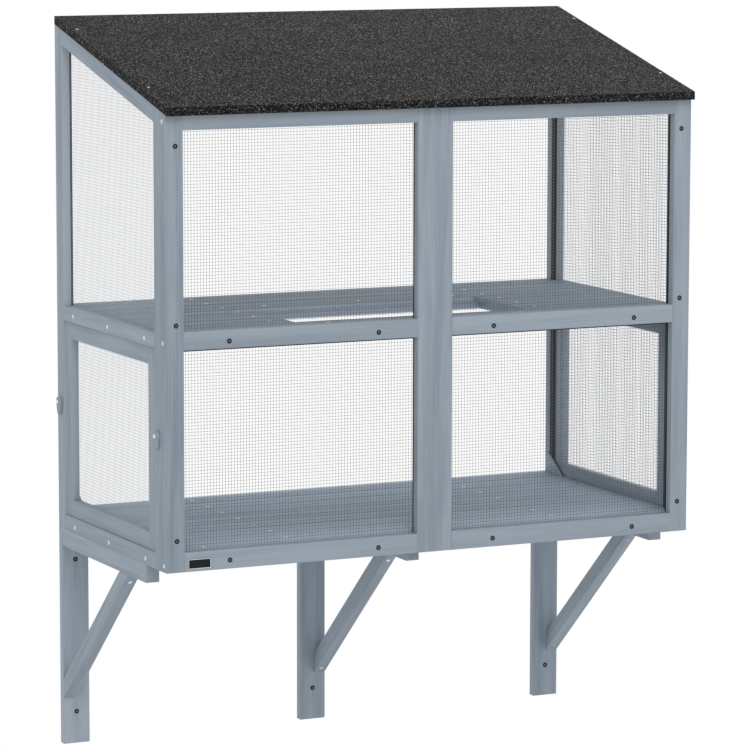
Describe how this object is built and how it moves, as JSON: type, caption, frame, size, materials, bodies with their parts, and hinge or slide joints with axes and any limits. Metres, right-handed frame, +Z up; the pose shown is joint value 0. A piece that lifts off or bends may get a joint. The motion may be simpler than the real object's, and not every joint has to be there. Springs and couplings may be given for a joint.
{
  "type": "outdoor cat enclosure",
  "caption": "Wall-hung timber cat enclosure with netted frames, a sloping felted roof, a shelf with a passage, lift-out side panels and braced wall brackets.",
  "frame": {"origin": "on the wall plane, in the middle of the rectangle of the four bolts through the two outer legs", "axes": "+X along the wall, to the right of someone who faces it, +Y into the wall, +Z up"},
  "size_m": [1.1696, 0.5885, 1.4984],
  "materials": {
    "painted_wood": "blue-grey paint over softwood, grain showing, matt",
    "bare_wood": "bare board",
    "mineral_felt": "charcoal mineral granules on bitumen felt, matt",
    "wire_net": "galvanised welded wire",
    "black_strip": "plain black strip",
    "zinc_screw": "zinc plated"
  },
  "bodies": {
    "enclosure": {"front_stile_outer_left": "painted_wood", "front_stile_inner_left": "painted_wood", "front_stile_inner_right": "painted_wood", "front_stile_outer_right": "painted_wood", "front_top_rail_left": "painted_wood", "front_top_rail_right": "painted_wood", "front_mid_rail_left": "painted_wood", "front_mid_rail_right": "painted_wood", "front_bottom_rail_left": "painted_wood", "front_bottom_rail_right": "painted_wood", "front_net_left": "wire_net", "front_net_right": "wire_net", "front_net_strips": "black_strip", "side_front_stile_left": "painted_wood", "side_front_stile_right": "painted_wood", "side_rear_stile_left": "painted_wood", "side_rear_stile_right": "painted_wood", "side_top_rail_left": "painted_wood", "side_top_rail_right": "painted_wood", "side_mid_rail_left": "painted_wood", "side_mid_rail_right": "painted_wood", "side_bottom_rail_left": "painted_wood", "side_bottom_rail_right": "painted_wood", "side_net_left": "wire_net", "side_net_right": "wire_net", "side_net_strips_left": "black_strip", "side_net_strips_right": "black_strip", "button_screws": "zinc_screw", "rear_top_rail": "painted_wood", "roof_board": "bare_wood", "roof_felt": "mineral_felt", "shelf_boards": "painted_wood", "shelf_battens": "painted_wood", "floor_boards": "painted_wood", "floor_battens": "painted_wood", "leg_left": "painted_wood", "leg_middle": "painted_wood", "leg_right": "painted_wood", "arm_left": "painted_wood", "arm_middle": "painted_wood", "arm_right": "painted_wood", "brace_left": "painted_wood", "brace_middle": "painted_wood", "brace_right": "painted_wood", "corner_gussets": "painted_wood"},
    "panel_left": {"panel_front_stile_left": "painted_wood", "panel_rear_stile_left": "painted_wood", "panel_top_rail_left": "painted_wood", "panel_bottom_rail_left": "painted_wood", "panel_net_left": "wire_net"},
    "panel_right": {"panel_front_stile_right": "painted_wood", "panel_rear_stile_right": "painted_wood", "panel_top_rail_right": "painted_wood", "panel_bottom_rail_right": "painted_wood", "panel_net_right": "wire_net"},
    "button_front_left": {"turn_button_front_left": "painted_wood"},
    "button_front_right": {"turn_button_front_right": "painted_wood"},
    "button_rear_left": {"turn_button_rear_left": "painted_wood"},
    "button_rear_right": {"turn_button_rear_right": "painted_wood"}
  },
  "joints": [
    {"name": "panel_left_pull_out", "type": "slide", "parent": "enclosure", "child": "panel_left", "axis": [-1, 0, 0], "range_m": [0, 0.15]},
    {"name": "panel_right_pull_out", "type": "slide", "parent": "enclosure", "child": "panel_right", "axis": [1, 0, 0], "range_m": [0, 0.15]},
    {"name": "button_front_left_turn", "type": "hinge", "parent": "enclosure", "child": "button_front_left", "pos_m": [-0.5788, -0.53625, 0.4885], "axis": [1, 0, 0], "range_deg": [0, 90]},
    {"name": "button_front_right_turn", "type": "hinge", "parent": "enclosure", "child": "button_front_right", "pos_m": [0.5788, -0.53625, 0.4885], "axis": [1, 0, 0], "range_deg": [0, 90]},
    {"name": "button_rear_left_turn", "type": "hinge", "parent": "enclosure", "child": "button_rear_left", "pos_m": [-0.5788, -0.01775, 0.4885], "axis": [-1, 0, 0], "range_deg": [0, 90]},
    {"name": "button_rear_right_turn", "type": "hinge", "parent": "enclosure", "child": "button_rear_right", "pos_m": [0.5788, -0.01775, 0.4885], "axis": [-1, 0, 0], "range_deg": [0, 90]}
  ]
}
